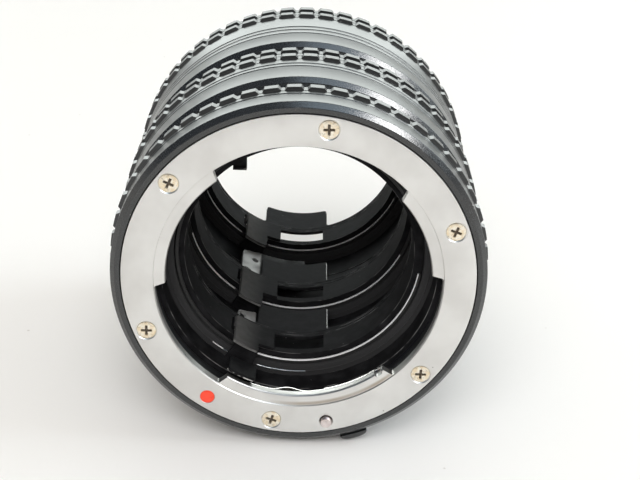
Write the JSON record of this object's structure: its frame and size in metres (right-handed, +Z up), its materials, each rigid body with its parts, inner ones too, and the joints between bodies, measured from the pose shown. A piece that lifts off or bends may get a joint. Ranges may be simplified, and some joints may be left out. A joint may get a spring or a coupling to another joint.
{
  "type": "macro extension tube",
  "caption": "Stack of coupled bayonet extension tubes with knurled grips, sprung release pins and linked aperture rings.",
  "frame": {"origin": "on the ground under the middle of the stack, which lies on its grips", "axes": "-Y along the optical axis towards the lens side, +Y towards the camera side, +Z up"},
  "size_m": [0.0644, 0.0738, 0.0645],
  "materials": {
    "black_enamel": "hard glossy black finish on turned aluminium",
    "satin_chrome": "satin chrome on turned brass, lightly worn",
    "gilt_steel": "yellow passivated steel",
    "spring_steel": "bright spring steel",
    "grey_steel": "dull grey pressed steel",
    "matt_black": "matt anti-reflection black"
  },
  "bodies": {
    "tubes": {"front_tube_barrel": "black_enamel", "front_tube_lens_flange": "satin_chrome", "front_tube_leaf_spring": "spring_steel", "front_tube_camera_bayonet": "satin_chrome", "front_tube_light_baffle": "matt_black", "front_tube_retaining_ring": "spring_steel", "front_tube_pin_spring": "spring_steel", "front_tube_flange_screw_1": "gilt_steel", "front_tube_flange_screw_2": "gilt_steel", "front_tube_flange_screw_3": "gilt_steel", "front_tube_flange_screw_4": "gilt_steel", "front_tube_flange_screw_5": "gilt_steel", "front_tube_flange_screw_6": "gilt_steel", "front_tube_plate_screw_1": "gilt_steel", "front_tube_plate_screw_2": "gilt_steel", "front_tube_plate_screw_3": "gilt_steel", "middle_tube_barrel": "black_enamel", "middle_tube_lens_flange": "satin_chrome", "middle_tube_leaf_spring": "spring_steel", "middle_tube_camera_bayonet": "satin_chrome", "middle_tube_light_baffle": "matt_black", "middle_tube_retaining_ring": "spring_steel", "middle_tube_pin_spring": "spring_steel", "middle_tube_flange_screw_1": "gilt_steel", "middle_tube_flange_screw_2": "gilt_steel", "middle_tube_flange_screw_3": "gilt_steel", "middle_tube_flange_screw_4": "gilt_steel", "middle_tube_flange_screw_5": "gilt_steel", "middle_tube_flange_screw_6": "gilt_steel", "middle_tube_plate_screw_1": "gilt_steel", "middle_tube_plate_screw_2": "gilt_steel", "middle_tube_plate_screw_3": "gilt_steel", "rear_tube_barrel": "black_enamel", "rear_tube_lens_flange": "satin_chrome", "rear_tube_leaf_spring": "spring_steel", "rear_tube_camera_bayonet": "satin_chrome", "rear_tube_light_baffle": "matt_black", "rear_tube_retaining_ring": "spring_steel", "rear_tube_pin_spring": "spring_steel", "rear_tube_flange_screw_1": "gilt_steel", "rear_tube_flange_screw_2": "gilt_steel", "rear_tube_flange_screw_3": "gilt_steel", "rear_tube_flange_screw_4": "gilt_steel", "rear_tube_flange_screw_5": "gilt_steel", "rear_tube_flange_screw_6": "gilt_steel", "rear_tube_plate_screw_1": "gilt_steel", "rear_tube_plate_screw_2": "gilt_steel", "rear_tube_plate_screw_3": "gilt_steel"},
    "front_aperture": {"front_tube_aperture_ring": "matt_black", "front_tube_coupling_lever": "grey_steel"},
    "front_lock": {"front_tube_lock_pin": "spring_steel", "front_tube_release_slider": "black_enamel"},
    "middle_aperture": {"middle_tube_aperture_ring": "matt_black", "middle_tube_coupling_lever": "grey_steel"},
    "middle_lock": {"middle_tube_lock_pin": "spring_steel", "middle_tube_release_slider": "black_enamel"},
    "rear_aperture": {"rear_tube_aperture_ring": "matt_black", "rear_tube_coupling_lever": "grey_steel"},
    "rear_lock": {"rear_tube_lock_pin": "spring_steel", "rear_tube_release_slider": "black_enamel"}
  },
  "joints": [
    {"name": "front_aperture_turn", "type": "hinge", "parent": "tubes", "child": "front_aperture", "pos_m": [0, -0.02995, 0.03225], "axis": [0, -1, 0], "range_deg": [0, 30], "stiffness_Nm_per_rad": 0.01, "springref_deg": -22.92},
    {"name": "front_lock_slide", "type": "slide", "parent": "tubes", "child": "front_lock", "axis": [0, 1, 0], "range_m": [0, 0.0013], "stiffness_N_per_m": 400, "springref_m": -0.001, "deforming": ["front_tube_pin_spring"]},
    {"name": "middle_aperture_turn", "type": "hinge", "parent": "tubes", "child": "middle_aperture", "pos_m": [0, -0.01395, 0.03225], "axis": [0, -1, 0], "range_deg": [0, 30], "stiffness_Nm_per_rad": 0.01, "springref_deg": -22.92},
    {"name": "middle_lock_slide", "type": "slide", "parent": "tubes", "child": "middle_lock", "axis": [0, 1, 0], "range_m": [0, 0.0013], "stiffness_N_per_m": 400, "springref_m": -0.001, "deforming": ["middle_tube_pin_spring"]},
    {"name": "rear_aperture_turn", "type": "hinge", "parent": "tubes", "child": "rear_aperture", "pos_m": [0, 0.00885, 0.03225], "axis": [0, -1, 0], "range_deg": [0, 30], "stiffness_Nm_per_rad": 0.01, "springref_deg": -22.92},
    {"name": "rear_lock_slide", "type": "slide", "parent": "tubes", "child": "rear_lock", "axis": [0, 1, 0], "range_m": [0, 0.0013], "stiffness_N_per_m": 400, "springref_m": -0.001, "deforming": ["rear_tube_pin_spring"]}
  ],
  "couplings": [
    {"joint": "middle_aperture_turn", "follows": "front_aperture_turn", "ratio": 1},
    {"joint": "rear_aperture_turn", "follows": "front_aperture_turn", "ratio": 1}
  ]
}
